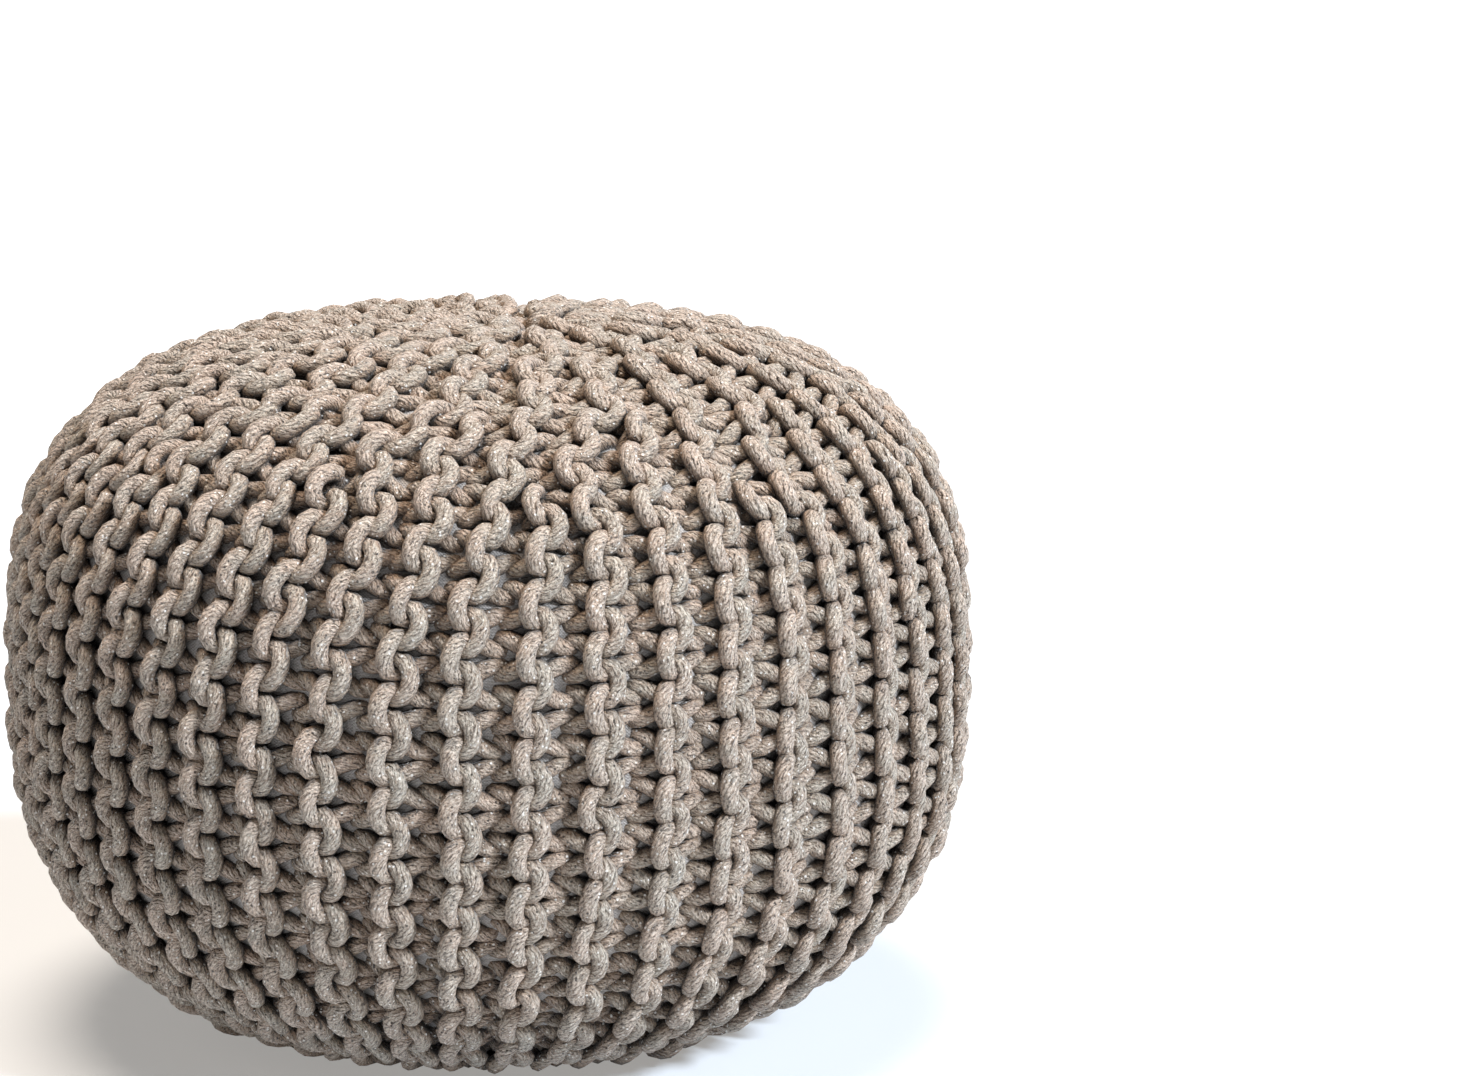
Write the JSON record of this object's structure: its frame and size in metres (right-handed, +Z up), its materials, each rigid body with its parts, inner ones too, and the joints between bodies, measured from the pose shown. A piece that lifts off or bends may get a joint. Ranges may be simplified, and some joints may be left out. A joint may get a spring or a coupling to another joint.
{
  "type": "knitted pouf",
  "caption": "Round knitted floor pouf: a ridged cover of thick cotton cord, drawn in at top and bottom, over a filled cloth bag that shows between the stitches.",
  "frame": {"origin": "middle of the pouf's outline at floor level, on the surface that it stands on", "axes": "+Z up; -Y towards the viewer of the reference picture; +X to that viewer's right, the side that the top gather leans to"},
  "size_m": [0.5, 0.4997, 0.3685],
  "materials": {
    "cover_cord": "matt twisted cotton cord with small pale and dark flecks",
    "casing_cloth": "matt plain woven cotton"
  },
  "bodies": {
    "root": {"knit_cover": "cover_cord", "inner_casing": "casing_cloth"}
  },
  "joints": []
}
